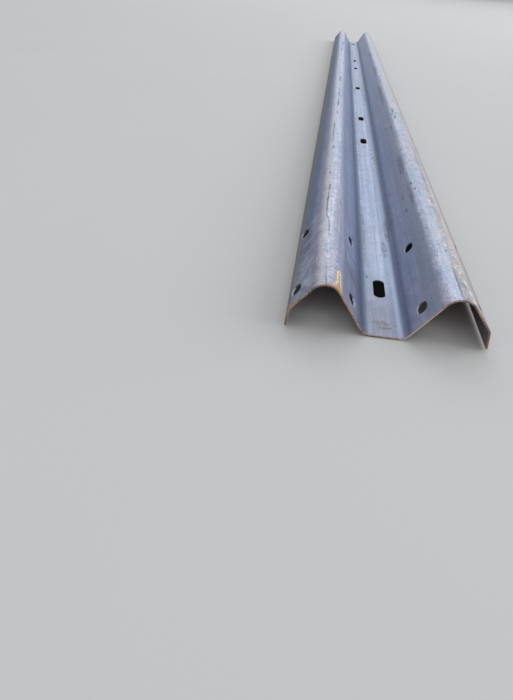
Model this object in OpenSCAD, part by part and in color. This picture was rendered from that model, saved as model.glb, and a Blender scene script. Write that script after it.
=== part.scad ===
// Highway guardrail section: one rail panel, roll-formed from a single steel sheet.
// The sheet is folded into two rounded ridges with a flat valley between them.
// Long slots in the valley take the post bolts, and eight oval slots at each end
// take the bolts that lap this panel onto the next one.
// +X is across the rail, +Y along it and +Z towards the traffic. The panel lies on the
// back of its valley, and the origin is at the middle of that face.

/* [Sheet] */
// Length of the panel from cut end to cut end
rail_length = 4300; // [3600:10:5200]
// Width over both lips
rail_width = 311; // [303:0.5:320]
// Depth from the top of the ridges to the back of the valley
rail_depth = 82.5; // [76:0.5:88]
// Thickness of the steel sheet
sheet_t = 3; // [2:0.1:4]

/* [Fold lines] */
// Distance between the centre lines of the two ridges
ridge_spacing = 197; // [190:0.5:202]
// Slope of the webs between valley and ridge, from the floor of the valley
web_slope = 56; // [53:0.5:60]
// Slope of the flanks outside the ridges, from the floor of the valley
flank_slope = 51; // [47:0.5:54]
// Slope of the lips along both long edges, from the floor of the valley
lip_slope = 82; // [76:0.5:87]
// Height of the lip edges above the back of the valley
lip_rise = 3; // [0.5:0.5:8]

/* [Bends] */
// Inside radius of the ridge bends
ridge_bend_r = 24.5; // [20:0.5:27]
// Inside radius of the bends beside the valley floor
valley_bend_r = 14.5; // [8:0.5:18]
// Inside radius of the lip bends
lip_bend_r = 8.5; // [4:0.5:12]

/* [Post bolt slots] */
// Distance from an end of the panel to the post bolt slot in the middle of its splice
splice_centre = 150; // [145:1:180]
// Pairs of slots lie this fraction of the post distance either side of the middle:
// 2 is a half, 4 a quarter and 6 a sixth
post_fractions = [2, 4, 6]; // [2:1:12]
// Width of a post bolt slot
post_slot_w = 20; // [16:0.5:26]
// Length of a post bolt slot along the rail
post_slot_l = 62; // [40:1:80]

/* [Splice slots] */
// Distance between the two rows of splice slots at an end
splice_row_pitch = 216; // [200:1:230]
// Distance up the webs from the bend at their foot to the middle of their slots
web_slot_up = 34.5; // [20:0.5:50]
// Distance up the flanks from the bend at their foot to the middle of their slots
flank_slot_up = 10.5; // [10.5:0.5:30]
// Width of a splice slot, down the slope
splice_slot_w = 19; // [15:0.5:21]
// Length of a splice slot along the rail
splice_slot_l = 27; // [22:0.5:36]

/* [Hidden] */
$fn = 96;
steel = [0.42, 0.46, 0.54];

half_t = sheet_t / 2;

// Radii of the bends at mid thickness
ridge_r = ridge_bend_r + half_t;
valley_r = valley_bend_r + half_t;
lip_r = lip_bend_r + half_t;

// A unit step up a slope towards +X, and the unit vector square to it that points up
function along(slope) = [cos(slope), sin(slope)];
function square_to(slope) = [-sin(slope), cos(slope)];

// Ridge bend: its centre puts the outside of the bend at the full depth
ridge_c = [ridge_spacing / 2, rail_depth - sheet_t - ridge_bend_r];
web_top = ridge_c + ridge_r * square_to(web_slope);
flank_top = ridge_c + ridge_r * square_to(-flank_slope);

// Valley bend: tangent to the web and to the flat floor
web_drop = web_top[1] - half_t - valley_r * (1 - cos(web_slope));
web_foot = web_top - along(web_slope) * web_drop / sin(web_slope);
valley_c = web_foot + valley_r * square_to(web_slope);

// Lip: its outer corner lies at the full width and its inner corner at the lip rise
lip_end = [
    rail_width / 2 - half_t * sin(lip_slope),
    lip_rise + half_t * cos(lip_slope)
];
lip_turn = lip_slope - flank_slope;
lip_reach = (lip_end - ridge_c) * square_to(-flank_slope);
lip_l = (ridge_r - lip_r * (1 - cos(lip_turn)) - lip_reach) / sin(lip_turn);
lip_top = lip_end - lip_l * along(-lip_slope);
lip_c = lip_top - lip_r * square_to(-lip_slope);
flank_foot = lip_c + lip_r * square_to(-flank_slope);

// Middles of the splice slots, at mid thickness
web_slot = web_foot + web_slot_up * along(web_slope);
flank_slot = flank_foot - flank_slot_up * along(-flank_slope);

// The post bolts of two neighbouring panels share the slots at the splices
post_distance = rail_length - 2 * splice_centre;

// The punches reach this far past the sheet on both sides
punch_over = 3;
punch_h = sheet_t + 2 * punch_over;

// One face of the sheet from the middle of the valley to the lip, this far above mid
// thickness. At each bend it turns in at the bend's centre, where a disc makes the round.
function face(above) = [
    [0, half_t + above],
    [valley_c[0], half_t + above],
    valley_c,
    web_foot + above * square_to(web_slope),
    web_top + above * square_to(web_slope),
    ridge_c,
    flank_top + above * square_to(-flank_slope),
    flank_foot + above * square_to(-flank_slope),
    lip_c,
    lip_top + above * square_to(-lip_slope),
    lip_end + above * square_to(-lip_slope)
];

// A flat outline across the rail, drawn out along its whole length
module draw_out(length) {
    rotate([90, 0, 0])
        linear_extrude(height = length, center = true)
            children();
}

// All that lies below one face of the sheet, closed by the points of its underside
module below(above, underside, length) {
    difference() {
        union() {
            draw_out(length)
                polygon(concat(face(above), underside));
            draw_out(length)
                translate(ridge_c)
                    circle(ridge_r + above);
            draw_out(length)
                translate(lip_c)
                    circle(lip_r + above);
        }
        draw_out(length + sheet_t)
            translate(valley_c)
                circle(valley_r - above);
    }
}

// The half of the rail at +X: what lies below the front face less what lies below the
// back face
module half_rail() {
    inner_corner = lip_end - half_t * square_to(-lip_slope);
    difference() {
        below(half_t, [inner_corner, [0, -sheet_t]], rail_length);
        below(
            -half_t,
            [[inner_corner[0], -rail_depth], [0, -rail_depth]],
            rail_length + sheet_t
        );
    }
}

module folded_sheet() {
    half_rail();
    mirror([1, 0, 0])
        half_rail();
}

// A round-ended punch, its length along the rail, square to a sheet of this slope
module slot_punch(w, l, slope) {
    straight = l - w;
    rotate([0, -slope, 0])
        linear_extrude(height = punch_h, center = true) {
            square([w, straight], center = true);
            for (way = [-1, 1])
                translate([0, way * straight / 2])
                    circle(d = w);
        }
}

// The slots along the valley, one in the middle and a pair for each fraction
module post_slots() {
    pairs = [for (part = post_fractions, way = [-1, 1]) way * post_distance / part];
    for (y = concat([0], pairs))
        translate([0, y, half_t])
            slot_punch(post_slot_w, post_slot_l, 0);
}

// The splice slots of both ends: one in each web and flank, in two rows
module splice_slots() {
    for (end = [-1, 1], row = [-1, 1], side = [-1, 1]) {
        y = end * post_distance / 2 + row * splice_row_pitch / 2;
        translate([side * web_slot[0], y, web_slot[1]])
            slot_punch(splice_slot_w, splice_slot_l, side * web_slope);
        translate([side * flank_slot[0], y, flank_slot[1]])
            slot_punch(splice_slot_w, splice_slot_l, -side * flank_slope);
    }
}

module rail_panel() {
    color(steel)
        difference() {
            folded_sheet();
            post_slots();
            splice_slots();
        }
}

rail_panel();
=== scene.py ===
from math import cos, pi, radians, sin
from types import SimpleNamespace

import bmesh
import bpy
import numpy as np
from bpy.props import FloatProperty, FloatVectorProperty, IntProperty, PointerProperty
from mathutils import Euler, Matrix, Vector
from mathutils.geometry import delaunay_2d_cdt


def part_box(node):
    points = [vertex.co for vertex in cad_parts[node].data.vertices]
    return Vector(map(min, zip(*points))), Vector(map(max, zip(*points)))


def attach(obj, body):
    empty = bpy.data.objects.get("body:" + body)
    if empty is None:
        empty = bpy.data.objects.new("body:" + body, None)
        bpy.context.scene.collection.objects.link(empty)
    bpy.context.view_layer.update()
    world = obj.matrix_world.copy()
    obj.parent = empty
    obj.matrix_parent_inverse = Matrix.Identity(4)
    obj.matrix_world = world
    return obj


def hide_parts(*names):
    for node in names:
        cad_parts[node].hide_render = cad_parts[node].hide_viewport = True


bl_info = {
    "name": "Highway Guardrail Panel",
    "version": (1, 0, 0),
    "blender": (4, 5, 0),
    "location": "3D View > Sidebar > Guardrail",
    "description": "Punches, folds and finishes a two-ridge guardrail panel of bare rolled steel",
    "category": "Object",
}

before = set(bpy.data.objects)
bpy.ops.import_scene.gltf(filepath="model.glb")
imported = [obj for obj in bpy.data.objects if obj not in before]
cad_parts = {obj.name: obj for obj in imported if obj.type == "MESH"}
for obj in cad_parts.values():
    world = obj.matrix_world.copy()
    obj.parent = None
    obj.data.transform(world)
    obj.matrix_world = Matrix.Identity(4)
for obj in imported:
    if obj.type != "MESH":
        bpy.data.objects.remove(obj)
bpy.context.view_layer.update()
PANEL_NODE = "rail_panel"
PANEL_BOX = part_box(PANEL_NODE)
PANEL_SIZE = PANEL_BOX[1] - PANEL_BOX[0]
MM = 0.001


# Settings


def number_setting(name, description, default, unit="LENGTH"):
    return FloatProperty(name=name, description=description, default=default, unit=unit)


def colour_setting(name, description, *default):
    return FloatVectorProperty(
        name=name,
        description=description,
        default=default,
        subtype="COLOR",
        size=3,
        min=0.0,
        max=1.0,
    )


class RailPanelSizes(bpy.types.PropertyGroup):
    """Sizes of the folded and punched sheet"""

    length: number_setting("Length", "Length from cut end to cut end", PANEL_SIZE.y)
    width: number_setting("Width", "Width over both lips", PANEL_SIZE.x)
    depth: number_setting("Depth", "From the ridge tops to the back of the valley", PANEL_SIZE.z)
    thickness: number_setting("Thickness", "Thickness of the steel sheet", 3 * MM)
    ridge_spacing: number_setting(
        "Ridge spacing", "Between the centre lines of the two ridges", 197 * MM
    )
    web_slope: number_setting(
        "Web slope", "Slope of the webs between valley and ridges", radians(56), "ROTATION"
    )
    flank_slope: number_setting(
        "Flank slope", "Slope of the flanks outside the ridges", radians(51), "ROTATION"
    )
    lip_slope: number_setting(
        "Lip slope", "Slope of the lips along both long edges", radians(82), "ROTATION"
    )
    lip_rise: number_setting("Lip rise", "Height of the lip edges over the back of the valley", 3 * MM)
    ridge_bend: number_setting("Ridge bend", "Inside radius of the ridge bends", 24.5 * MM)
    valley_bend: number_setting(
        "Valley bend", "Inside radius of the bends beside the valley floor", 14.5 * MM
    )
    lip_bend: number_setting("Lip bend", "Inside radius of the lip bends", 8.5 * MM)
    splice_centre: number_setting(
        "Splice centre", "From an end to the post slot in the middle of its splice", 150 * MM
    )
    splice_pitch: number_setting(
        "Splice row pitch", "Between the two rows of splice slots at an end", 216 * MM
    )
    post_slot_width: number_setting("Post slot width", "Width of a post bolt slot", 20 * MM)
    post_slot_length: number_setting(
        "Post slot length", "Length of a post bolt slot along the rail", 62 * MM
    )
    splice_slot_width: number_setting(
        "Splice slot width", "Width of a splice slot, down the slope", 19 * MM
    )
    splice_slot_length: number_setting(
        "Splice slot length", "Length of a splice slot along the rail", 27 * MM
    )
    web_slot_up: number_setting(
        "Web slot place", "From the bend at the foot of the web to its slots", 34.5 * MM
    )
    flank_slot_up: number_setting(
        "Flank slot place", "From the bend at the foot of the flank to its slots", 10.5 * MM
    )
    waviness: number_setting(
        "Waviness", "How far the rolled sheet wanders from its true shape", 0.35 * MM
    )
    seed: IntProperty(
        name="Seed",
        description="Which of the many possible waves and stains the panel gets",
        default=4,
    )


class RailPanelFinish(bpy.types.PropertyGroup):
    """Colours of the bare steel"""

    slate: colour_setting("Slate scale", "Blue-grey mill scale on the webs", 0.150, 0.170, 0.265)
    # Painted shade: the flanks are darkened as a dark reflection of the ground they face.
    flank: colour_setting("Flank scale", "Deeper blue scale on the flanks", 0.028, 0.038, 0.110)
    # Painted sheen: the valley floor is paled where it reflects the sky.
    pale: colour_setting("Pale scale", "Pale blue scale on the valley floor", 0.300, 0.330, 0.460)
    # Partly painted sheen: the ridge tops are paled where they reflect the sky, besides real rubbing.
    rubbed: colour_setting("Rubbed scale", "Rubbed pale along the ridges", 0.370, 0.365, 0.430)
    # Painted sheen on the floor and ridge tops, and the painted highlight on the slots' lower walls.
    bright: colour_setting("Bright scale", "Scale rubbed nearly white", 0.470, 0.490, 0.600)
    worn: colour_setting("Worn scale", "Worn warm along the right ridge", 0.460, 0.420, 0.400)
    # Painted shade in the valley's bends.
    shade: colour_setting("Bend scale", "Dark scale in the valley's bends", 0.050, 0.062, 0.130)
    # Real dark marks, and also painted shade at the foot of the left flank and on the slots' walls.
    soot_and_shade: colour_setting("Soot", "Dark marks and the deepest scale", 0.030, 0.033, 0.045)
    umber: colour_setting("Umber stain", "Thin brown stain on the scale", 0.150, 0.110, 0.100)
    cream: colour_setting("Cream", "Pale pink wear on the right ridge", 0.58, 0.47, 0.44)
    pale_straw: colour_setting("Pale straw", "The first trace of rust", 0.50, 0.41, 0.35)
    straw: colour_setting("Straw rust", "Thin first rust on worn scale", 0.54, 0.35, 0.18)
    yellow: colour_setting("Yellow rust", "Bright flecks of fresh rust", 0.84, 0.60, 0.30)
    orange: colour_setting("Orange rust", "Fresh rust along the cut edges", 0.46, 0.19, 0.05)
    rust_grey: colour_setting("Grey rust", "Thin rust on the valley floor", 0.200, 0.125, 0.080)
    brown: colour_setting("Brown rust", "Older rust on the cut edges", 0.16, 0.085, 0.055)


class StudioSettings(bpy.types.PropertyGroup):
    """Floor and light"""

    floor: colour_setting("Floor", "Colour of the plain floor", 0.600, 0.548, 0.510)
    # Painted shade: a dark strip on the floor under the valley, seen only through the post slots,
    # stands in for shaded ground.
    painted_shade: colour_setting(
        "Shaded floor", "The floor that shows through the post slots", 0.005, 0.005, 0.005
    )
    sky: colour_setting("Light colour", "Colour of all the light, as from cloud", 0.83, 0.92, 1.0)
    ahead_power: number_setting(
        "Ahead power", "The high soft light beyond the far end", 850.0, "POWER"
    )
    low_power: number_setting("Low power", "The low soft light beyond the far end", 80.0, "POWER")
    right_power: number_setting(
        "Right power", "The soft light to the right of the panel", 800.0, "POWER"
    )
    near_power: number_setting("Near power", "The soft light beyond the near end", 90.0, "POWER")
    room_high: number_setting("Room light above", "The even light from overhead", 0.80, "NONE")
    room_low: number_setting("Room light around", "The even light from the sides", 0.40, "NONE")


# Node helpers


def fill_input(socket, value):
    """Links or sets an input."""
    if isinstance(value, Value):
        socket.id_data.links.new(value.socket, socket)
    elif value is not None:
        socket.default_value = value


def add_node(tree, kind, inputs=None, **settings):
    """Adds a node, sets it up, and links or sets its inputs by name or number."""
    node = tree.nodes.new(kind)
    for key, value in settings.items():
        setattr(node, key, value)
    for key, value in (inputs or {}).items():
        fill_input(node.inputs[key], value)
    return node


def result(tree, kind, inputs=None, output=0, **settings):
    """Adds a node and gives one of its outputs."""
    return Value(add_node(tree, kind, inputs, **settings).outputs[output])


def tree_of(*values):
    """The node tree that the first of these values to come from a node belongs to."""
    return next(value.tree for value in values if isinstance(value, Value))


def maths(operation, *values, clamp=False):
    inputs = dict(enumerate(values))
    return result(tree_of(*values), "ShaderNodeMath", inputs, operation=operation, use_clamp=clamp)


def vector_maths(operation, *values, output=0):
    inputs = dict(enumerate(values))
    return result(tree_of(*values), "ShaderNodeVectorMath", inputs, output, operation=operation)


def separate(vector):
    """The three parts of a vector."""
    node = add_node(vector.tree, "ShaderNodeSeparateXYZ", {0: vector})
    return [Value(socket) for socket in node.outputs]


def blend(factor, a, b, blend_type="MIX"):
    """Colour a where the factor is nothing and colour b where it is one."""
    inputs = {0: factor, 6: a, 7: b}
    settings = {"data_type": "RGBA", "blend_type": blend_type}
    return result(tree_of(factor, a, b), "ShaderNodeMix", inputs, 2, **settings)


def colour4(value):
    return (value[0], value[1], value[2], 1.0)


class Value:
    """A number, vector or colour that a node gives. Arithmetic with it adds the nodes it takes."""

    def __init__(self, socket):
        self.socket = socket
        self.tree = socket.id_data

    def __add__(self, other):
        return maths("ADD", self, other)

    def __sub__(self, other):
        return maths("SUBTRACT", self, other)

    def __rsub__(self, other):
        return maths("SUBTRACT", other, self)

    def __mul__(self, other):
        return maths("MULTIPLY", self, other)

    def __or__(self, other):
        """One mask or the other: the greater of the two."""
        return maths("MAXIMUM", self, other)

    def __abs__(self):
        return maths("ABSOLUTE", self)

    def scaled(self, factor, plus, clamp=False):
        """This number times the factor, plus the other."""
        return maths("MULTIPLY_ADD", self, factor, plus, clamp=clamp)

    def step(self, start, end, low=0.0, high=1.0):
        """A number that turns smoothly from low, where this one is at start, to high at end."""
        inputs = {"Value": self, "From Min": start, "From Max": end, "To Min": low, "To Max": high}
        return result(self.tree, "ShaderNodeMapRange", inputs, interpolation_type="SMOOTHSTEP")

    def fall(self, start, end):
        """One where this number is at start, and smoothly down to nothing at end."""
        return self.step(start, end, 1.0, 0.0)

    def band(self, start, end, soft):
        """One between start and end, and nothing beyond, with soft edges this wide."""
        opening = self.step(start - soft, start + soft)
        return opening * self.fall(end - soft, end + soft)

    def swing(self, amount, low=0.36, high=0.64):
        """A factor about one that follows this noise pattern so far up and down."""
        return self.step(low, high, 1.0 - amount, 1.0 + amount)

    def broken(self, pattern, low, high):
        """This mask, broken up by a noise pattern."""
        return self * pattern.step(low, high)

    def vary(self, a, b):
        """Number a where this mask is nothing and number b where it is one."""
        return result(self.tree, "ShaderNodeMix", {0: self, 2: a, 3: b}, data_type="FLOAT")

    def under(self, mask, strength, colour):
        """This colour, with another laid over it where the mask is."""
        return blend(mask * strength, self, colour)

    def through(self, kind, inputs=None, **settings):
        """What a geometry node makes of this geometry."""
        inputs = {"Geometry": self, **(inputs or {})}
        return result(self.tree, "GeometryNode" + kind, inputs, **settings)

    def tinted(self, tint):
        """This colour times another, or times a number."""
        return blend(1.0, self, tint, "MULTIPLY")


# The folded section


SLOPES = ("Web slope", "Flank slope", "Lip slope")
FOLD_LENGTHS = (
    "Floor end", "Web start", "Web end", "Flank start", "Flank end", "Lip start", "Lip edge",
    "Valley radius", "Ridge radius", "Lip radius",
)


def fold_stations(sizes):
    """The straight runs and bends from the middle of the valley to the lip edge, at mid thickness."""
    half = sizes.thickness / 2
    ridge_r = sizes.ridge_bend + half
    valley_r = sizes.valley_bend + half
    lip_r = sizes.lip_bend + half
    web = sizes.web_slope
    flank = sizes.flank_slope
    lip = sizes.lip_slope
    ridge_x = sizes.ridge_spacing / 2
    ridge_z = sizes.depth - sizes.thickness - sizes.ridge_bend
    web_top = (ridge_x - ridge_r * sin(web), ridge_z + ridge_r * cos(web))
    web_length = (web_top[1] - half - valley_r * (1 - cos(web))) / sin(web)
    floor_end = web_top[0] - web_length * cos(web) - valley_r * sin(web)
    lip_end = (sizes.width / 2 - half * sin(lip), sizes.lip_rise + half * cos(lip))
    turn = lip - flank
    reach = (lip_end[0] - ridge_x) * sin(flank) + (lip_end[1] - ridge_z) * cos(flank)
    lip_length = (ridge_r - lip_r * (1 - cos(turn)) - reach) / sin(turn)
    lip_top_x = lip_end[0] - lip_length * cos(lip)
    flank_foot_x = lip_top_x - lip_r * sin(lip) + lip_r * sin(flank)
    flank_top_x = ridge_x + ridge_r * sin(flank)
    web_start = floor_end + valley_r * web
    web_end = web_start + web_length
    flank_start = web_end + ridge_r * (web + flank)
    flank_end = flank_start + (flank_foot_x - flank_top_x) / cos(flank)
    lip_start = flank_end + lip_r * turn
    lip_edge = lip_start + lip_length
    places = (floor_end, web_start, web_end, flank_start, flank_end, lip_start, lip_edge)
    fold = dict(zip(FOLD_LENGTHS, (*places, valley_r, ridge_r, lip_r)))
    fold["Web slot"] = web_start + sizes.web_slot_up
    fold["Flank slot"] = flank_end - sizes.flank_slot_up
    return fold


# Each step of a cut edge: its distance in from the cut and its height, as shares of half the
# thickness
CUT_STEPS = [(0.80, 1.0), (0.30, 0.985), (0.09, 0.90), (0.0, 0.70)]
CUT_PROFILE = CUT_STEPS + [(0.0, 0.0)] + [(inset, -height) for inset, height in CUT_STEPS[::-1]]

# How far the slot patches reach: beyond the ends of their slots, and to the sides of the web slots
POST_MARGIN = 8 * MM
SPLICE_MARGIN = 7.5 * MM
WEB_SIDE = 13 * MM
# The distance between the blank's lines across the rail, away from the slots
LINE_SPACING = 17 * MM
# Points closer than this are welded, and lines closer than this are the same
WELD = 0.01 * MM
SAME = 1e-6


def evenly(start, end, count):
    return [start + (end - start) * i / count for i in range(count)]


def lines_across(fold, cut_inset):
    """Where the blank's lines along the rail lie, from the middle to the lip edge."""
    web_slot = fold["Web slot"]
    flank_slot = fold["Flank slot"]
    flank_side = (fold["Flank end"] + fold["Lip start"]) / 2 - flank_slot
    marks = [
        (0.0, 4),
        (fold["Floor end"], 6),
        (fold["Web start"], 3),
        (web_slot - WEB_SIDE, 4),
        (web_slot + WEB_SIDE, 4),
        (fold["Web end"], 14),
        (fold["Flank start"], 4),
        (flank_slot - flank_side, 3),
        (flank_slot + flank_side / 2, 1),
        (fold["Flank end"], 4),
        (fold["Lip start"], 5),
        (fold["Lip edge"] - cut_inset, 0),
    ]
    lines = []
    for (start, count), (end, _) in zip(marks, marks[1:]):
        lines += evenly(start, end, count)
    return lines + [marks[-1][0]], flank_side


def slot_rows(sizes):
    """The places along the rail of the post slots and of the rows of splice slots."""
    distance = sizes.length - 2 * sizes.splice_centre
    posts = [0.0]
    for part in (6, 4, 2):
        posts += [-distance / part, distance / part]
    splices = [
        end * distance / 2 + row * sizes.splice_pitch / 2 for end in (-1, 1) for row in (-1, 1)
    ]
    return sorted(posts), sorted(splices)


def lines_along(sizes, cut_inset):
    """Where the blank's lines across the rail lie, with closer ones at the slots."""
    posts, splices = slot_rows(sizes)
    post_side = sizes.post_slot_length / 2 + POST_MARGIN
    splice_side = sizes.splice_slot_length / 2 + SPLICE_MARGIN
    spans = [(y - post_side, y + post_side, 8) for y in posts]
    spans += [(y - splice_side, y + splice_side, 6) for y in splices]
    spans.sort()
    place = -sizes.length / 2 + cut_inset
    last = sizes.length / 2 - cut_inset
    lines = []
    for start, end, count in spans + [(last, last, 0)]:
        lines += evenly(place, start, max(1, round((start - place) / LINE_SPACING)))
        lines += evenly(start, end, count)
        place = end
    return lines + [last], post_side, splice_side


def slot_outline(width, length, offset, steps=12):
    """The points of a round-ended slot, the longer way along the rail, so far outside its edge."""
    radius = width / 2 + offset
    straight = (length - width) / 2
    points = []
    for end in (1, -1):
        for i in range(steps + 1):
            turn = pi * i / steps + (0 if end == 1 else pi)
            points.append((radius * cos(turn), end * straight + radius * sin(turn)))
    return points


def mesh_object(name, mesh):
    """An object with the finished mesh, which is freed."""
    data = bpy.data.meshes.new(name)
    mesh.to_mesh(data)
    mesh.free()
    return bpy.data.objects.new(name, data)


def bridge(mesh, rings, way):
    """Closes the wall between each ring of vertices and the next, one way round or the other."""
    for upper, lower in zip(rings, rings[1:]):
        for i in range(len(upper)):
            j = (i + 1) % len(upper)
            others = (upper[j], lower[j], lower[i])
            mesh.faces.new((upper[i], *others[::way]))


def slot_patch(name, width, length, across, along, half):
    """A small rectangle of sheet with one punched slot, closed by the slot's own wall."""
    mesh = bmesh.new()
    rings = []
    for inset, height in CUT_PROFILE:
        outline = slot_outline(width, length, inset * half)
        rings.append([mesh.verts.new((x, y, height * half)) for x, y in outline])
    bridge(mesh, rings, 1)
    border = [(x, along[0]) for x in across]
    border += [(across[-1], y) for y in along[1:]]
    border += [(x, along[-1]) for x in reversed(across[:-1])]
    border += [(across[0], y) for y in reversed(along[1:-1])]
    reach = width / 2 + CUT_PROFILE[0][0] * half
    outline = slot_outline(width, length, CUT_PROFILE[0][0] * half)
    points = [Vector(p) for p in border + outline]
    first = len(border)
    ring_edges = [(first + i, first + (i + 1) % len(outline)) for i in range(len(outline))]
    border_edges = [(i, (i + 1) % first) for i in range(first)]
    flat = delaunay_2d_cdt(points, border_edges + ring_edges, [], 0, 1e-7)
    straight = (length - width) / 2
    for side, ring in ((1, rings[0]), (-1, rings[-1])):
        corners = [mesh.verts.new((x, y, side * half)) for x, y in border] + ring
        for face in flat[2]:
            numbers = [flat[3][v][0] for v in face]
            x = sum(points[n].x for n in numbers) / 3
            y = sum(points[n].y for n in numbers) / 3
            # A triangle over the slot itself is left out
            if Vector((x, max(abs(y) - straight, 0.0))).length < reach * 0.999:
                continue
            mesh.faces.new([corners[n] for n in numbers[::side]])
    return mesh_object(name, mesh)


def flat_blank(name, across, along, gaps, half):
    """The flat sheet as a closed slab with square gaps where the slot patches go."""
    mesh = bmesh.new()
    last_i = len(across) - 1
    last_j = len(along) - 1
    skipped = np.zeros((last_i, last_j), bool)
    for gap in gaps:
        i0, i1 = (int(np.argmin(np.abs(np.array(across) - x))) for x in gap[:2])
        j0, j1 = (int(np.argmin(np.abs(np.array(along) - y))) for y in gap[2:])
        skipped[i0:i1, j0:j1] = True
    grids = []
    for side in (1, -1):
        grid = {}
        for i, j in zip(*np.nonzero(~skipped)):
            corners = [(i, j), (i + 1, j), (i + 1, j + 1), (i, j + 1)]
            for c in corners:
                if c not in grid:
                    grid[c] = mesh.verts.new((across[c[0]], along[c[1]], side * half))
            mesh.faces.new([grid[c] for c in corners[::side]])
        grids.append(grid)
    rim = [(i, 0) for i in range(last_i + 1)]
    rim += [(last_i, j) for j in range(1, last_j + 1)]
    rim += [(i, last_j) for i in range(last_i - 1, -1, -1)]
    rim += [(0, j) for j in range(last_j - 1, 0, -1)]
    rings = [[grids[0][c] for c in rim]]
    for inset, height in CUT_PROFILE[1:-1]:
        out = (CUT_PROFILE[0][0] - inset) * half
        ring = []
        for i, j in rim:
            x = across[i] + out * ((i == last_i) - (i == 0))
            y = along[j] + out * ((j == last_j) - (j == 0))
            ring.append(mesh.verts.new((x, y, height * half)))
        rings.append(ring)
    rings.append([grids[1][c] for c in rim])
    bridge(mesh, rings, -1)
    return mesh_object(name, mesh)


def slot_places(name, places):
    """One point for each slot, with the kind of its patch and whether it is turned round."""
    data = bpy.data.meshes.new(name)
    data.from_pydata([(x, y, 0.0) for x, y, kind, turned in places], [], [])
    kinds = data.attributes.new("patch_kind", "INT", "POINT")
    kinds.data.foreach_set("value", [kind for x, y, kind, turned in places])
    turns = data.attributes.new("patch_turn", "FLOAT", "POINT")
    turns.data.foreach_set("value", [pi if turned else 0.0 for x, y, kind, turned in places])
    return bpy.data.objects.new(name, data)


# Geometry node trees


PATCHES = ("Post slot", "Web slot", "Flank slot")
# Kinds of socket, with their subtypes
NUMBER = ("NodeSocketFloat", "NONE")
LENGTH = ("NodeSocketFloat", "DISTANCE")
ANGLE = ("NodeSocketFloat", "ANGLE")
GEOMETRY = ("NodeSocketGeometry", None)
OBJECT = ("NodeSocketObject", None)
MATERIAL = ("NodeSocketMaterial", None)


def new_geometry_tree(name, inputs, outputs):
    """A new tree, the values that its inputs carry, and the sockets that take its results."""
    tree = bpy.data.node_groups.new(name, "GeometryNodeTree")
    for label, (kind, subtype) in inputs.items():
        socket = tree.interface.new_socket(name=label, in_out="INPUT", socket_type=kind)
        if subtype:
            socket.subtype = subtype
    for label, (kind, _) in outputs.items():
        tree.interface.new_socket(name=label, in_out="OUTPUT", socket_type=kind)
    given = {socket.name: Value(socket) for socket in tree.nodes.new("NodeGroupInput").outputs}
    return tree, given, tree.nodes.new("NodeGroupOutput").inputs


def straight_run_tree():
    """How far a straight run of the section carries a point across and up."""
    inputs = {"Distance": NUMBER, "Start": LENGTH, "End": LENGTH, "Slope": ANGLE}
    outputs = {"Across": NUMBER, "Up": NUMBER}
    tree, given, results = new_geometry_tree("straight_run", inputs, outputs)
    length = given["End"] - given["Start"]
    run = maths("MAXIMUM", given["Distance"] - given["Start"], 0.0)
    run = maths("MINIMUM", run, length)
    fill_input(results["Across"], run * maths("COSINE", given["Slope"]))
    fill_input(results["Up"], run * maths("SINE", given["Slope"]))
    return tree


def bend_tree():
    """How far a bend of the section carries a point across and up, and how far it turns it."""
    inputs = {"Distance": NUMBER, "Start": LENGTH, "Radius": LENGTH, "From": ANGLE, "To": ANGLE}
    outputs = {"Across": NUMBER, "Up": NUMBER, "Turn": NUMBER}
    tree, given, results = new_geometry_tree("bend_run", inputs, outputs)
    whole = given["To"] - given["From"]
    way = maths("SIGN", whole)
    run = maths("MAXIMUM", given["Distance"] - given["Start"], 0.0)
    turn = maths("DIVIDE", run, given["Radius"])
    turn = maths("MINIMUM", turn, abs(whole)) * way
    slope = given["From"] + turn
    signed = given["Radius"] * way
    sines = maths("SINE", slope) - maths("SINE", given["From"])
    cosines = maths("COSINE", given["From"]) - maths("COSINE", slope)
    fill_input(results["Across"], signed * sines)
    fill_input(results["Up"], signed * cosines)
    fill_input(results["Turn"], turn)
    return tree


def named_attribute(tree, name, data_type):
    inputs = {"Name": name}
    kind = "GeometryNodeInputNamedAttribute"
    return result(tree, kind, inputs, "Attribute", data_type=data_type)


def punched_sheet(tree, given):
    """The blank with a patch set in at each slot, and each point's place on the flat sheet stored."""
    places = result(tree, "GeometryNodeObjectInfo", {"Object": given["Slot places"]}, "Geometry")
    kind = named_attribute(tree, "patch_kind", "INT")
    turned = named_attribute(tree, "patch_turn", "FLOAT")
    rotation = result(tree, "ShaderNodeCombineXYZ", {"Z": turned})
    joined = add_node(tree, "GeometryNodeJoinGeometry")
    for number, label in enumerate(PATCHES):
        patch = result(tree, "GeometryNodeObjectInfo", {"Object": given[label]}, "Geometry")
        inputs = {2: kind, 3: number}
        chosen = result(tree, "FunctionNodeCompare", inputs, data_type="INT", operation="EQUAL")
        inputs = {"Points": places, "Selection": chosen, "Instance": patch, "Rotation": rotation}
        fill_input(joined.inputs[0], result(tree, "GeometryNodeInstanceOnPoints", inputs))
    fill_input(joined.inputs[0], given["Blank"])
    real = Value(joined.outputs[0]).through("RealizeInstances")
    welded = real.through("MergeByDistance", {"Distance": WELD})
    inputs = {"Name": "sheet", "Value": result(tree, "GeometryNodeInputPosition")}
    return welded.through("StoreNamedAttribute", inputs, data_type="FLOAT_VECTOR", domain="POINT")


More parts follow.
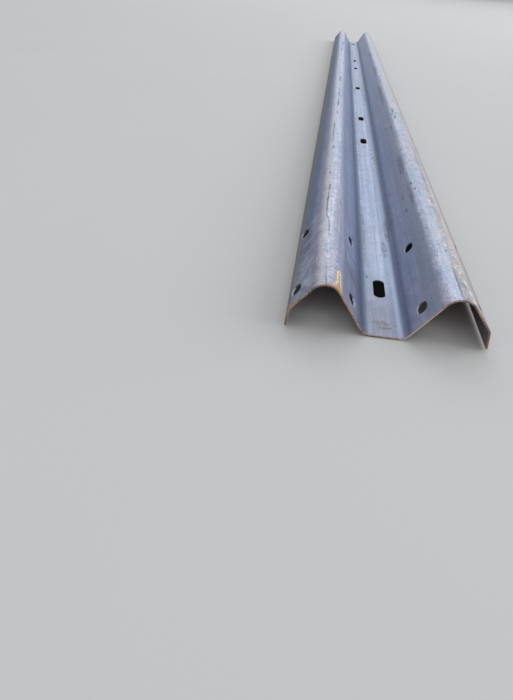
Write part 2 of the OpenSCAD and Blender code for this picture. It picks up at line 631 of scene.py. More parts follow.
def panel_tree():
    """Sets the slot patches into the blank, folds the sheet and gives it its finish."""
    inputs = {
        "Blank": GEOMETRY,
        **dict.fromkeys(("Slot places", *PATCHES), OBJECT),
        **dict.fromkeys(("Thickness", *FOLD_LENGTHS), LENGTH),
        **dict.fromkeys(SLOPES, ANGLE),
        "Waviness": LENGTH,
        "Seed": NUMBER,
        "Finish": MATERIAL,
    }
    tree, given, results = new_geometry_tree("punch_and_fold", inputs, {"Panel": GEOMETRY})
    punched = punched_sheet(tree, given)
    sheet = named_attribute(tree, "sheet", "FLOAT_VECTOR")
    from_middle, along, off_middle = separate(sheet)
    distance = abs(from_middle)
    side = maths("SIGN", from_middle)
    web = given["Web slope"]
    flank = given["Flank slope"] * -1.0
    lip = given["Lip slope"] * -1.0
    straight = straight_run_tree()
    bend = bend_tree()
    runs = []
    for start, end, slope in (
        (0.0, given["Floor end"], 0.0),
        (given["Web start"], given["Web end"], web),
        (given["Flank start"], given["Flank end"], flank),
        (given["Lip start"], given["Lip edge"], lip),
    ):
        inputs = {"Distance": distance, "Start": start, "End": end, "Slope": slope}
        runs.append(add_node(tree, "GeometryNodeGroup", inputs, node_tree=straight).outputs)
    turns = []
    for start, radius, before, after in (
        (given["Floor end"], given["Valley radius"], 0.0, web),
        (given["Web end"], given["Ridge radius"], web, flank),
        (given["Flank end"], given["Lip radius"], flank, lip),
    ):
        inputs = {"Distance": distance, "Start": start, "Radius": radius}
        inputs.update({"From": before, "To": after})
        runs.append(add_node(tree, "GeometryNodeGroup", inputs, node_tree=bend).outputs)
        turns.append(Value(runs[-1]["Turn"]))
    across = Value(runs[0]["Across"])
    up = given["Thickness"].scaled(0.5, Value(runs[0]["Up"]))
    for run in runs[1:]:
        across = across + Value(run["Across"])
        up = up + Value(run["Up"])
    slope = turns[0] + turns[1] + turns[2]
    # The wave leaves the floor flat, and draws the rest in from its true shape, more so at the lips
    wave_place = vector_maths("MULTIPLY", sheet, (7.0, 2.6, 0.0))
    inputs = {"Vector": wave_place, "W": given["Seed"]}
    inputs.update({"Scale": 1.0, "Detail": 2.0, "Roughness": 0.4})
    wave = result(tree, "ShaderNodeTexNoise", inputs, noise_dimensions="4D")
    held = distance.step(20 * MM, 60 * MM)
    free = distance.step(150 * MM, 240 * MM, 1.0, 1.8)
    wave = wave * (held * free) * given["Waviness"]
    above = off_middle - wave
    across = (across - above * maths("SINE", slope)) * side
    up = up + above * maths("COSINE", slope)
    place = result(tree, "ShaderNodeCombineXYZ", {"X": across, "Y": along, "Z": up})
    folded = punched.through("SetPosition", {"Position": place}).through("SetShadeSmooth")
    plain = folded.through("RealizeInstances")
    fill_input(results["Panel"], plain.through("SetMaterial", {"Material": given["Finish"]}))
    return tree


def fill_modifier(modifier, tree, values):
    """Gives each named input of the tree its value, through the input's identifier."""
    sockets = [item for item in tree.interface.items_tree if item.item_type == "SOCKET"]
    identifiers = {item.name: item.identifier for item in sockets if item.in_out == "INPUT"}
    for label, value in values.items():
        modifier[identifiers[label]] = value


def plain_mesh(obj, name):
    """Turns the result of an object's modifiers into its own plain mesh."""
    graph = bpy.context.evaluated_depsgraph_get()
    data = bpy.data.meshes.new_from_object(
        obj.evaluated_get(graph),
        preserve_all_data_layers=True,
        depsgraph=graph,
    )
    data.name = name
    obj.modifiers.clear()
    obj.data = data
    return data


def store_edge_distance(data, sizes, fold):
    """Keeps each point's distance to the nearest cut edge, in millimetres on the flat sheet."""
    flat = np.zeros(len(data.vertices) * 3, np.float32)
    data.attributes["sheet"].data.foreach_get("vector", flat)
    flat = flat.reshape(-1, 3)
    across = np.abs(flat[:, 0])
    along = flat[:, 1]
    nearest = np.minimum(fold["Lip edge"] - across, sizes.length / 2 - np.abs(along))
    posts, splices = slot_rows(sizes)
    slots = [(0.0, y, sizes.post_slot_width, sizes.post_slot_length) for y in posts]
    for y in splices:
        for x in (fold["Web slot"], fold["Flank slot"]):
            slots.append((x, y, sizes.splice_slot_width, sizes.splice_slot_length))
    for x, y, width, length in slots:
        beyond = np.maximum(np.abs(along - y) - (length - width) / 2, 0)
        nearest = np.minimum(nearest, np.hypot(across - x, beyond) - width / 2)
    values = np.clip(nearest / MM, 0, 200).astype(np.float32)
    attribute = data.attributes.new("cut_distance", "FLOAT", "POINT")
    attribute.data.foreach_set("value", values)


# Materials


# The stops of the scale across the section, in millimetres from the middle of the valley, each with
# the two tones that are mixed there and how much of the second. Besides the scale's own tones, the
# stops carry painted light: painted sheen on the pale floor and ridge tops, painted shade in the
# valley's bends, and dark painted reflection on the flanks
SCALE_AND_SHADING_STOPS = [
    (-240, "flank", "shade", 0.3),
    (-206, "soot_and_shade", "flank", 0.15),
    (-194, "flank", "soot_and_shade", 0.40),
    (-184, "flank", "slate", 0.02),
    (-176, "flank", "slate", 0.35),
    (-167, "slate", "rubbed", 0.0),
    (-158, "slate", "rubbed", 0.35),
    (-149, "rubbed", "pale_straw", 0.1),
    (-136, "rubbed", "bright", 0.2),
    (-126, "rubbed", "bright", 0.0),
    (-118, "rubbed", "slate", 0.35),
    (-110, "slate", "rubbed", 0.35),
    (-98, "slate", "rubbed", 0.12),
    (-60, "slate", "shade", 0.0),
    (-47, "slate", "shade", 0.55),
    (-39, "shade", "flank", 0.40),
    (-29, "shade", "flank", 0.70),
    (-25, "shade", "pale", 0.10),
    (-19, "pale", "bright", 0.15),
    (-13, "pale", "rubbed", 0.3),
    (2, "pale", "rubbed", 0.4),
    (11, "pale", "bright", 0.45),
    (16, "pale", "slate", 0.05),
    (22, "pale", "slate", 0.35),
    (27, "slate", "pale", 0.25),
    (33, "slate", "shade", 0.60),
    (44, "slate", "shade", 0.70),
    (56, "slate", "rubbed", 0.12),
    (100, "slate", "rubbed", 0.22),
    (108, "slate", "rubbed", 0.24),
    (115, "slate", "rubbed", 0.62),
    (122, "rubbed", "bright", 0.60),
    (131, "rubbed", "bright", 0.50),
    (139, "rubbed", "slate", 0.20),
    (149, "rubbed", "umber", 0.40),
    (158, "umber", "worn", 0.75),
    (190, "umber", "worn", 0.45),
    (210, "umber", "rubbed", 0.15),
    (240, "flank", "umber", 0.5),
]
# The stop at which the ramp of the left half hands over to that of the right half
MIDDLE_STOP = 2

# The noise patterns: the size of the lumps across and along the sheet in millimetres, the detail,
# the roughness, what is added to the seed, and the distortion
PATTERNS = {
    "cloud": (90, 420, 3, 0.55, 0, 0),
    "drift": (30, 150, 4, 0.6, 0.5, 0.6),
    "blotch": (26, 34, 4, 0.65, 0.8, 0.4),
    "mottle": (14, 22, 4, 0.62, 1, 0),
    "grit": (3.6, 5, 3, 0.72, 2, 0),
    "scuff": (9, 3.4, 3, 0.66, 2.5, 0.5),
    "streak": (2.2, 190, 3, 0.62, 3, 0),
    "wide_streak": (9, 520, 3, 0.6, 3.5, 0),
    "ragged": (6, 8, 4, 0.65, 4, 0),
    "slow": (400, 60, 2, 0.5, 5, 0),
    "fleck": (4, 9, 3, 0.7, 7, 0),
    "dash": (3.2, 30, 3, 0.7, 10, 0),
}

# What the scale is multiplied by where it is cool, where it is warm and where it is dusty
COOL = (0.98, 0.98, 1.05, 1.0)
WARM = (1.13, 0.98, 1.00, 1.0)
DUSTY = (0.80, 0.69, 0.67, 1.0)

# Marks that the panel has at known places, in millimetres across the sheet from the middle of the
# valley and along it from the near end. Ovals have a centre, a half width and a half length.
DARK_SPOTS = [
    (-19.8, 190, 2.8, 6), (136, 163, 2.4, 5), (128.2, 1275, 3.6, 42), (129.2, 1178, 3.8, 32),
    (137.2, 1225, 2.6, 20), (142, 1453, 2.6, 22), (109.5, 1080, 3.6, 17), (90, 1127, 3, 16),
    (99, 655, 4, 20), (108, 662, 3.4, 16), (115.5, 529, 3.2, 12), (87, 494, 3.6, 13),
    (88.5, 419, 3.4, 15), (120.5, 486, 3, 9), (20.5, 1048, 2.6, 11), (20.5, 1001, 2.8, 9),
    (19.5, 952, 2.6, 10), (33, 999, 3, 9), (44.5, 1020, 3, 12), (-141, 744, 2.6, 22),
    (-143, 430, 2.6, 26), (-135.5, 1500, 3, 60), (-134.6, 1862, 4.2, 90), (-128.5, 1462, 8, 13),
    (-137, 1320, 2.6, 110), (-137, 1170, 2.4, 40), (-137, 2952, 4, 90), (-130, 3340, 4, 120),
    (-121, 2397, 3, 70),
]
SMEARS = [
    (30, 410, 9, 80), (19, 315, 8, 52), (44, 470, 10, 110), (-21, 390, 5, 170),
    (27, 1900, 6, 130), (40, 3640, 7, 260), (109, 2900, 7, 150), (112, 2250, 8, 200),
    (104, 700, 12, 100), (108, 480, 7, 90), (106, 1650, 10, 260), (-60, 2450, 20, 160),
]
BROWN_STAINS = [
    (99, 1760, 11, 280), (104, 2550, 12, 420), (-74, 84, 38, 40), (-128, 250, 8, 160),
    (22, 2080, 14, 60), (-22, 2100, 9, 60),
]
YELLOW_FLECKS = [
    (139, 400, 3.5, 11), (138, 186, 4, 9), (140, 105, 3.5, 7), (146.5, 90, 3.5, 6),
    (150.5, 60, 3, 14), (153.5, 32, 3, 12), (155.5, 10, 4, 11),
]
# Lines have both ends and a half width
STROKES = [
    (-86, 153, -38, 126, 6.5),
    (-98, 141, -50, 113, 5),
    (-92, 128, -42, 100, 6),
    (-106, 124, -60, 95, 2.6),
    (-80, 170, -46, 150, 4),
    (-76, 196, -48, 182, 3.6),
    (-88, 792, -52, 782, 4),
]
FLANK_SCUFFS = [
    (-156, 292, -198, 278, 5),
    (-158, 262, -198, 247, 3.5),
    (-166, 214, -200, 190, 5),
    (-160, 165, -196, 146, 3.5),
    (-158, 118, -192, 98, 3.5),
]
CREASE = (136, -10, 138.2, 124, 2.4)


def ovals(place, *table):
    """A mask of soft ovals on the flat sheet."""
    nearest = None
    for x, y, half_width, half_length in table:
        scale = (1 / half_width, 1 / half_length, 0.0)
        shift = (-x / half_width, -y / half_length, 0.0)
        off = vector_maths("MULTIPLY_ADD", place, scale, shift)
        far = vector_maths("DOT_PRODUCT", off, off, output="Value")
        nearest = far if nearest is None else maths("MINIMUM", nearest, far)
    return nearest.fall(0.15, 1.0)


def scratches(place, table, wander=None):
    """A mask of thin lines on the flat sheet, which may wander to their sides."""
    nearest = None
    for x0, y0, x1, y1, width in table:
        middle = Vector((x0 + x1, y0 + y1)) / 2
        half = Vector((x1 - x0, y1 - y0)) / 2
        way = half / half.length_squared
        side = Vector((half.y, -half.x)) / half.length / width
        start = -side.dot(middle)
        if wander:
            start = wander.scaled(1 / width, start)
        across = vector_maths("DOT_PRODUCT", place, (*side, 0.0), output="Value")
        across = maths("ADD", start, across)
        along = vector_maths("DOT_PRODUCT", place, (*way, 0.0), output="Value") - way.dot(middle)
        far = along.scaled(along, across * across)
        nearest = far if nearest is None else maths("MINIMUM", nearest, far)
    return nearest.fall(0.25, 1.0)


def noise(vector, across, along, detail, roughness, seed, distortion):
    """Soft noise whose lumps have this size across and along the sheet, in millimetres."""
    inputs = {
        "Vector": vector_maths("MULTIPLY", vector, (1 / across, 1 / along, 0.0)),
        "W": seed,
        "Scale": 1.0,
        "Detail": detail,
        "Roughness": roughness,
        "Distortion": distortion,
    }
    return result(vector.tree, "ShaderNodeTexNoise", inputs, noise_dimensions="4D")


def sheet_places(tree, sizes, fold):
    """Where a point lies on the flat sheet, in millimetres, and the noise patterns there."""
    raw = result(tree, "ShaderNodeAttribute", None, "Vector", attribute_name="sheet")
    flat = vector_maths("MULTIPLY", raw, (1 / MM, 1 / MM, 1 / MM))
    s, along, above = separate(flat)
    a = abs(s)
    y = along + sizes.length / 2 / MM
    to_end = sizes.length / 2 / MM - abs(along)
    to_lip = fold["Lip edge"] / MM - a
    patterns = {}
    for name, (wide, long, detail, roughness, shift, distortion) in PATTERNS.items():
        seed = sizes.seed + shift
        patterns[name] = noise(flat, wide, long, detail, roughness, seed, distortion)
    return SimpleNamespace(
        s=s,
        a=a,
        y=y,
        above=above,
        place=result(tree, "ShaderNodeCombineXYZ", {"X": s, "Y": y}),
        to_end=to_end,
        to_outline=maths("MINIMUM", to_end, to_lip),
        cut=result(tree, "ShaderNodeAttribute", None, "Fac", attribute_name="cut_distance"),
        front=above.step(-1.3, 1.3),
        **patterns,
    )


def tone_ramp(place, stops, finish):
    """A colour ramp through these stops, laid between the first one's place and the last one's."""
    start = stops[0][0]
    length = stops[-1][0] - start
    fac = place.scaled(1 / length, -start / length)
    node = add_node(place.tree, "ShaderNodeValToRGB", {"Fac": fac})
    points = node.color_ramp.elements
    while len(points) > 1:
        points.remove(points[0])
    for number, (at_s, first, second, mix) in enumerate(stops):
        position = (at_s - start) / length
        point = points[0] if number == 0 else points.new(position)
        point.position = position
        point.color = Vector(getattr(finish, first)).lerp(Vector(getattr(finish, second)), mix)
    return Value(node.outputs[0])


def scale_and_shading_across(at, finish):
    """The colour of the mill scale, strip by strip, with painted sheen on the floor and ridge tops,
    painted shade in the bends and on the flanks, and borders that wander.
    """
    sway = (at.blotch - 0.5) * at.a.step(60, 105, 6.0, 18.0)
    # The bright strip of painted sheen on the right ridge reaches lower down its web at the near end
    slide = at.y.step(60, 1700, 6.0, -6.0) * at.s.step(60, 100)
    place = at.s + (sway + slide)
    middle = [stop[0] for stop in SCALE_AND_SHADING_STOPS].index(MIDDLE_STOP)
    left = tone_ramp(place, SCALE_AND_SHADING_STOPS[: middle + 1], finish)
    right = tone_ramp(place, SCALE_AND_SHADING_STOPS[middle:], finish)
    return blend(maths("GREATER_THAN", place, MIDDLE_STOP), left, right)


def mottled_scale(at, finish):
    """Mill scale, deeper or paler from strip to strip as painted light and shade, with clouds, roll
    streaks and scuffs.
    """
    tint = blend(at.blotch.scaled(0.6, at.cloud).step(0.68, 0.92), COOL, WARM)
    base = scale_and_shading_across(at, finish).tinted(tint)
    floor = at.a.band(-30, 23, 3)
    ridges = at.a.band(112, 160, 6)
    tone = at.mottle.swing(0.12) * at.blotch.swing(0.10) * at.streak.swing(0.15)
    tone = tone * at.wide_streak.swing(0.14) * at.grit.swing(0.13)
    cross = at.s.step(-20, 20).vary(at.scuff.swing(0.24), at.scuff.swing(0.13))
    scuffed = ridges.vary(1.0, cross)
    gritty = ridges.vary(1.0, at.grit.swing(0.12, 0.42, 0.60))
    fresh = at.y.step(200, 900, 0.94, 1.14) * at.y.step(1200, 2600, 1.0, 0.95)
    fresh = floor.vary(at.y.step(1200, 2600, 1.0, 1.11), fresh)
    deeper = at.s.step(-150, -175).vary(1.0, at.y.step(100, 2400, 1.15, 0.75))
    base = base.tinted(tone * scuffed * gritty * fresh * deeper)

    # The valley floor and the left ridge are dusty and dull within a hand's width of the near end
    dust = at.blotch.scaled(120, at.y).fall(110, 330)
    dust = dust * (floor | at.s.step(60, -60) * 0.65)
    return blend(dust, base, base.tinted(DUSTY)), dust


def worn_places(base, at, finish):
    """Brown along the lips, and the straw-coloured rubs and flecks along the ridges."""
    lip_brown = at.drift.scaled(50, at.a).step(205, 245)
    base = base.under(lip_brown, 0.55, finish.umber)
    # Painted shade: the foot of the left flank is darkened as a dark reflection of the ground beside
    # it.
    left_foot = at.s.step(-186, -208) * at.y.step(150, 500)
    base = base.under(left_foot, 0.6, finish.soot_and_shade)
    near_flank = ovals(at.place, (-182, 40, 34, 150))
    near_flank = near_flank.broken(at.mottle.scaled(0.5, at.blotch), 0.55, 0.95)
    base = base.under(near_flank, 0.75, finish.rubbed)
    foot = ovals(at.place, (-204, 120, 20, 210)).broken(at.blotch, 0.38, 0.62)
    base = base.under(foot, 0.6, finish.umber)
    haze = at.s.band(-172, -156, 8).broken(at.drift.scaled(0.6, at.streak), 0.62, 0.92)
    base = base.under(haze, 0.5, finish.umber)
    scuffs = scratches(at.place, FLANK_SCUFFS).broken(at.mottle, 0.30, 0.60)
    base = base.under(scuffs, 0.5, finish.rubbed)

    # The rub along the outside of the left ridge dies out along the rail
    rub = at.blotch.scaled(16, at.s).band(-144, -136.5, 4)
    rub = rub * at.y.step(150, 400, 0.55, 1.0) * at.y.step(500, 1700, 1.0, 0.35)
    rub = rub.broken(at.scuff.scaled(0.7, at.drift), 0.56, 0.84)
    base = base.under(rub, 0.85, finish.pale_straw)
    yellow = at.s.band(-150, -112, 6).broken(at.scuff.scaled(0.5, at.blotch), 0.80, 0.98)
    yellow = yellow * at.y.step(60, 500, 0.6, 0.12)
    base = base.under(yellow, 1.0, finish.straw)

    # Cream patches along the right ridge, and yellow flecks on its outside
    cream = at.s.band(118, 158, 6).broken(at.blotch.scaled(0.6, at.drift), 0.70, 1.0)
    cream = cream * at.y.step(700, 1800, 0.3, 0.75)
    cream = cream | at.s.band(133, 154, 4) * at.y.step(1000, 1500, 0.0, 0.6)
    base = base.under(cream, 1.0, finish.cream)
    far_brown = at.y.step(1000, 1500, 0.0, 0.22)
    base = base.under(at.s.band(133, 160, 4), far_brown, finish.umber)
    pink = ovals(at.place, (131, 220, 6, 16)).broken(at.ragged, 0.35, 0.6)
    base = base.under(pink, 0.7, finish.cream)
    fleck = at.slow.scaled(10, at.s).band(142, 172, 6) * at.y.step(300, 2600, 1.0, 0.6)
    fleck = fleck.broken(at.blotch.scaled(0.35, at.fleck), 0.72, 0.80)
    fleck = fleck | ovals(at.place, *YELLOW_FLECKS).broken(at.ragged, 0.34, 0.46)
    return base.under(fleck, 0.9, finish.yellow), rub | fleck


def dark_marks(at):
    """Thin lines along the rail, dark smears, chips in the scale and slanting strokes."""
    line_at = at.s + (at.slow.scaled(5, -2.5) + at.ragged.scaled(2.4, -1.2))

    # The line beside the rub drifts up to the top of the ridge, thick and thin and broken
    course = at.y.step(210, 300, -138.5, -145.0) + at.y.step(950, 1250, 0.0, 9.5)
    thick = at.drift.scaled(0.8, at.dash).step(0.82, 1.10, 0.6, 2.1)
    left_line = (abs(line_at - course) - thick).fall(-0.7, 0.5)
    left_line = left_line.broken(at.fleck.scaled(0.5, at.drift), 0.70, 0.78)
    left_line = left_line * at.y.step(180, 360, 0.6, 0.95)
    right_line = line_at.band(133.4, 134.9, 0.7).broken(at.dash, 0.46, 0.54)
    right_line = right_line * at.y.step(250, 320, 0.0, 0.6)
    crease = scratches(at.place, [CREASE], at.ragged.scaled(4, -2))
    roll_lines = (
        at.s.band(-26.6, -24.8, 0.8)
        | at.s.band(-18.4, -16.6, 0.8)
        | at.s.band(-14.0, -12.6, 0.7) * at.y.step(400, 600, 0.6, 1.0)
        | at.s.band(15.8, 17.0, 0.7) * 0.8
    )
    roll_lines = roll_lines * at.dash.step(0.3, 0.6, 0.35, 0.9) * at.y.step(130, 320)
    smears = at.slow.scaled(6, at.s).band(44, 50, 3) * 0.8 | ovals(at.place, *SMEARS)
    smears = smears.broken(at.fleck.scaled(0.6, at.mottle * 0.6), 0.46, 0.68)
    placed = ovals(at.place, *DARK_SPOTS).broken(at.ragged, 0.30, 0.46)
    chips = (
        ovals(at.place, (128, 1245, 11, 140))
        | ovals(at.place, (25, 945, 11, 95))
        | at.s.band(108, 150, 5) * 0.885
        | at.s.band(-146, -122, 4) * at.y.step(100, 900, 0.84, 0.89)
        | at.s.band(80, 116, 8) * at.y.step(150, 500, 0.84, 0.9)
    )
    chips = (chips * at.dash).step(0.52, 0.58)
    long_chips = at.s.band(-143, -122, 4).broken(at.drift.scaled(0.5, at.streak), 0.86, 0.92)
    long_chips = long_chips * at.y.step(900, 1400)

    # Slanting strokes on the left web, just behind its first slot
    strokes = scratches(at.place, STROKES, at.ragged.scaled(4, -2))
    strokes = strokes * at.fleck.step(0.35, 0.55, 0.65, 1.0)
    return (
        left_line * 0.95
        | right_line * 0.6
        | roll_lines * 0.62
        | smears * 0.68
        | placed * 0.85
        | chips * 0.9
        | long_chips * 0.75
        | crease * 0.6
        | strokes * 0.95
    )


def stained(base, at, finish):
    """Thin brown stain on the webs, and the speckle that is thickest on the floor's near end."""
    stain = (
        at.s.band(78, 108, 8) * at.y.step(700, 1200, 1.0, 0.6)
        | at.s.band(-96, -60, 10) * at.y.step(1500, 2600, 0.0, 0.6)
        | ovals(at.place, *BROWN_STAINS)
    )
    stain = stain.broken(at.blotch.scaled(0.6, at.streak), 0.66, 0.92)
    base = base.under(stain, 0.42, finish.umber)
    near = at.blotch.scaled(120, at.y).fall(90, 300) * at.a.step(20, 60, 1.0, 0.3)
    lean = near * 0.09
    dark = (at.grit + lean).step(0.65, 0.73)
    light = (at.grit - lean).step(0.36, 0.28)
    base = base.under(dark, 0.6, finish.soot_and_shade)
    base = base.under(near * at.ragged.step(0.48, 0.66), 0.4, finish.umber)
    return base.under(light, 0.5, finish.rubbed)


def surface_rust(base, at, finish):
    """A run of rust on the left ridge at its near end and a small patch on the valley floor."""
    off = abs(at.s + at.ragged.scaled(9, 112.5))
    outside = off - at.y.step(0, 34, 9.0, 4.8)
    reach = off.scaled(1.6, at.ragged.scaled(24, at.y))
    run = outside.fall(-1.0, 1.0) * reach.fall(72, 78)
    foot = at.ragged.scaled(-14, at.y).fall(-3.0, 0.5) * at.s.band(-142, -108, 5)
    rim = outside.step(-3.6, -1.4) | reach.step(60, 70)
    core = off.fall(1.4, 3.0) * at.fleck.step(0.40, 0.52)
    low = at.ragged.scaled(20, at.y).fall(14, 34)
    gold = blend(rim, finish.straw, finish.yellow)
    gold = gold.under(core, 0.65, finish.umber).under(low, 0.75, finish.orange)
    base = blend(run, base, gold).under(foot, 0.8, finish.orange)
    patch = ovals(at.place, (-3, 38, 20, 8)) | ovals(at.place, (2, 24, 16, 6))
    patch = patch.broken(at.grit.scaled(0.5, at.ragged), 0.62, 0.84)
    base = base.under(patch, 0.8, finish.rust_grey)
    near_edge = at.ragged.scaled(-16, at.cut).fall(-7.5, -3.5)
    near_edge = near_edge * at.to_outline.fall(3.0, 9.0)
    base = base.under(near_edge, 0.35, finish.orange)
    return base, run | foot | patch * 0.5 | near_edge * 0.6


def cut_edges(base, at, finish):
    """Rust along the cut outline, and slots dark inside with painted shade on their walls, but bright
    on their lower side with a painted highlight on that wall and on the front rim beside it.
    """
    cut_face = abs(at.above).fall(1.3, 1.49)
    in_slot = cut_face * at.to_outline.step(2.0, 4.0)
    edge_rust = cut_face * at.to_outline.fall(2.0, 4.0)
    edge_rust = edge_rust | at.ragged.scaled(18, at.a).step(243, 250)
    fresh = at.blotch.scaled(0.7, at.mottle).step(0.74, 0.98)
    dark_run = at.s.band(-166, -122, 8) | at.s.band(-20, 14, 10)
    worn = at.s.band(28, 104, 12).scaled(0.22, at.drift.scaled(0.5, at.grit)).step(0.72, 0.94)
    rust_tone = blend(fresh, finish.brown, finish.orange)
    rust_tone = rust_tone.under(dark_run, 0.55, finish.soot_and_shade).under(worn, 0.9, finish.pale_straw)
    # Painted highlight: the lower walls of the web and flank slots, and the front rim beside them, are
    # painted bright where they face the sky.
    lower = at.a.band(50.0, 67.5, 2.0) | at.a.band(201.5, 222.0, 2.0)
    rim = at.ragged.scaled(3, at.cut).fall(1.6, 2.6)
    rim = rim * lower * at.to_outline.step(4.0, 7.0)
    # Painted shade: the other slot walls are soot and brown to darken the holes.
    painted_wall_light_and_shade = blend(at.mottle.step(0.40, 0.62), finish.soot_and_shade, finish.brown)
    painted_wall_light_and_shade = blend(lower, painted_wall_light_and_shade, finish.bright)
    colour = base.under(rim * at.front, 0.6, finish.bright)
    colour = blend(edge_rust, colour, rust_tone)
    return blend(in_slot, colour, painted_wall_light_and_shade), edge_rust | in_slot


def back_finish(base, at, finish):
    """The back is browner, most of all in the bends, with orange rust inside the ridge ends."""
    bends = at.a.band(20, 44, 10) | at.a.band(108, 164, 8) | at.a.step(196, 222)
    brown = bends.scaled(0.62, at.drift.scaled(0.9, -0.28), clamp=True)
    back = blend(brown, base, finish.umber)
    end_rust = at.drift.scaled(-420, at.to_end).fall(-120, 60)
    end_rust = (end_rust * at.a.band(122, 154, 12)).broken(at.ragged, 0.25, 0.5)
    flakes = at.a.band(30, 215, 10).broken(at.fleck, 0.67, 0.72).broken(at.cloud, 0.45, 0.6)
    return back.under(flakes, 1.0, finish.straw).under(end_rust, 1.0, finish.orange)


def new_material(name):
    """A material, its node tree and the inputs of its shader."""
    material = bpy.data.materials.new(name)
    material.use_nodes = True
    return material, material.node_tree, material.node_tree.nodes["Principled BSDF"].inputs


def mill_scale_material(settings, sizes, fold):
    """Bare rolled steel: blue-grey scale with roll streaks, worn places, first rust and marks."""
    material, tree, shader = new_material("bare_rolled_steel")
    tones = {key: colour4(getattr(settings, key)) for key in RailPanelFinish.__annotations__}
    finish = SimpleNamespace(**tones)
    at = sheet_places(tree, sizes, fold)
    base, dust = mottled_scale(at, finish)
    base, rubs = worn_places(base, at, finish)
    dark = dark_marks(at)
    base = base.under(dark, 1.0, finish.soot_and_shade)
    base = stained(base, at, finish)
    base, light_rust = surface_rust(base, at, finish)
    base = blend(at.front, back_finish(base, at, finish), base)
    colour, cut = cut_edges(base, at, finish)

    rough = at.mottle.step(0.34, 0.66).scaled(0.10, 0.30)
    rough = at.streak.step(0.3, 0.7).scaled(0.06, rough)
    rough = at.a.step(150, 172).scaled(0.20, rough)
    rough = dust.scaled(0.16, rough)
    rough = (dark * 0.8).vary(rough, 0.7)
    rough = at.front.vary(0.62, rough)
    rough = (cut | light_rust | rubs * 0.6).vary(rough, 0.85)

    relief = at.mottle.scaled(0.10, at.grit * 0.06)
    relief = at.streak.scaled(0.012, relief)
    relief = at.drift.scaled(0.35, relief)
    inputs = {"Strength": 1.0, "Distance": MM, "Height": relief}
    fill_input(shader["Base Color"], colour)
    fill_input(shader["Roughness"], rough)
    fill_input(shader["Normal"], result(tree, "ShaderNodeBump", inputs))
    shader["IOR"].default_value = 2.2
    shader["Specular Tint"].default_value = (0.80, 0.90, 1.0, 1.0)
    return material


def floor_material(colour, painted_shade):
    """Smooth matt floor, faintly clouded, with a strip of painted shade under the panel's valley."""
    material, tree, shader = new_material("pale_floor")
    place = result(tree, "ShaderNodeTexCoord", None, "Object")
    cloud = result(tree, "ShaderNodeTexNoise", {"Vector": place, "Scale": 1.4, "Detail": 3.0})
    x, y, z = separate(place)
    end = PANEL_SIZE.y / 2
    # The strip of painted shade under the valley, seen only through the post slots
    under = abs(x).fall(15 * MM, 20 * MM)
    under = under * abs(y).fall(end - 60 * MM, end - 15 * MM)
    plain = blend(1.0, colour4(colour), cloud.scaled(0.04, 0.98), "MULTIPLY")
    fill_input(shader["Base Color"], blend(under, plain, colour4(painted_shade)))
    shader["Roughness"].default_value = 0.9
    shader["Specular IOR Level"].default_value = 0.02
    return material


# Operators


# The camera as fitted to the photo: its place in metres, its turn in degrees, its lens in
# millimetres, and its shift as a share of the picture's height
CAMERA_PLACE = (-0.12686, -2.80331, 0.44480)
CAMERA_TURN = (53.2484, -2.8399, 8.1644)
CAMERA_LENS = 25.873
CAMERA_SHIFT = -4 / 700
FLOOR_HALF_SIZE = 40.0
# Fewer faces than this mean that the node tree has failed
FEWEST_FACES = 10000
# Each light's place and size. All of them look at the origin.
LIGHTS = {
    "ahead": ((0.0, 14.0, 12.0), (16.0, 8.0)),
    "low": ((0.0, 18.0, 4.4), (16.0, 7.2)),
    "right": ((10.0, 1.0, 6.0), (12.0, 7.0)),
    "near": ((0.0, -14.0, 8.0), (14.0, 8.0)),
}


class GUARDRAIL_OT_camera(bpy.types.Operator):
    """Place the camera low at the near end, looking down along the panel"""

    bl_idname = "guardrail.camera"
    bl_label = "Camera"

    def execute(self, context):
        data = bpy.data.cameras.new("panel_camera")
        data.lens = CAMERA_LENS
        data.sensor_width = 36.0
        data.shift_y = CAMERA_SHIFT
        data.clip_end = 200.0
        camera = bpy.data.objects.new("panel_camera", data)
        camera.location = CAMERA_PLACE
        camera.rotation_euler = Euler([radians(turn) for turn in CAMERA_TURN], "XYZ")
        context.scene.collection.objects.link(camera)
        context.scene.camera = camera
        return {"FINISHED"}


def flat_pieces(sizes, fold):
    """The blank, the points where its slots go, and the three kinds of slot patch."""
    half = sizes.thickness / 2
    cut_inset = CUT_PROFILE[0][0] * half
    right, flank_side = lines_across(fold, cut_inset)
    across = [-x for x in reversed(right[1:])] + right
    along, post_side, splice_side = lines_along(sizes, cut_inset)
    posts, splices = slot_rows(sizes)
    web_slot = fold["Web slot"]
    flank_slot = fold["Flank slot"]
    places = [(0.0, y, 0, False) for y in posts]
    for y in splices:
        for side in (-1, 1):
            places.append((side * web_slot, y, 1, side < 0))
            places.append((side * flank_slot, y, 2, side < 0))
    floor_side = fold["Floor end"] * 3 / 4
    reach = ((floor_side, post_side), (WEB_SIDE, splice_side), (flank_side, splice_side))
    gaps = []
    for x, y, kind, turned in places:
        side_x, side_y = reach[kind]
        gaps.append((x - side_x, x + side_x, y - side_y, y + side_y))
    blank = flat_blank("blank", across, along, gaps, half)
    post_size = (sizes.post_slot_width, sizes.post_slot_length)
    splice_size = (sizes.splice_slot_width, sizes.splice_slot_length)
    shapes = (
        ("post_slot", post_size, 0.0, posts[0]),
        ("web_slot", splice_size, web_slot, splices[0]),
        ("flank_slot", splice_size, flank_slot, splices[0]),
    )
    patches = []
    for (name, size, x, y), (side_x, side_y) in zip(shapes, reach):
        lines_x = [line - x for line in across if abs(line - x) < side_x + SAME]
        lines_y = [line - y for line in along if abs(line - y) < side_y + SAME]
        patches.append(slot_patch(name, *size, lines_x, lines_y, half))
    return blank, slot_places("slot_places", places), patches


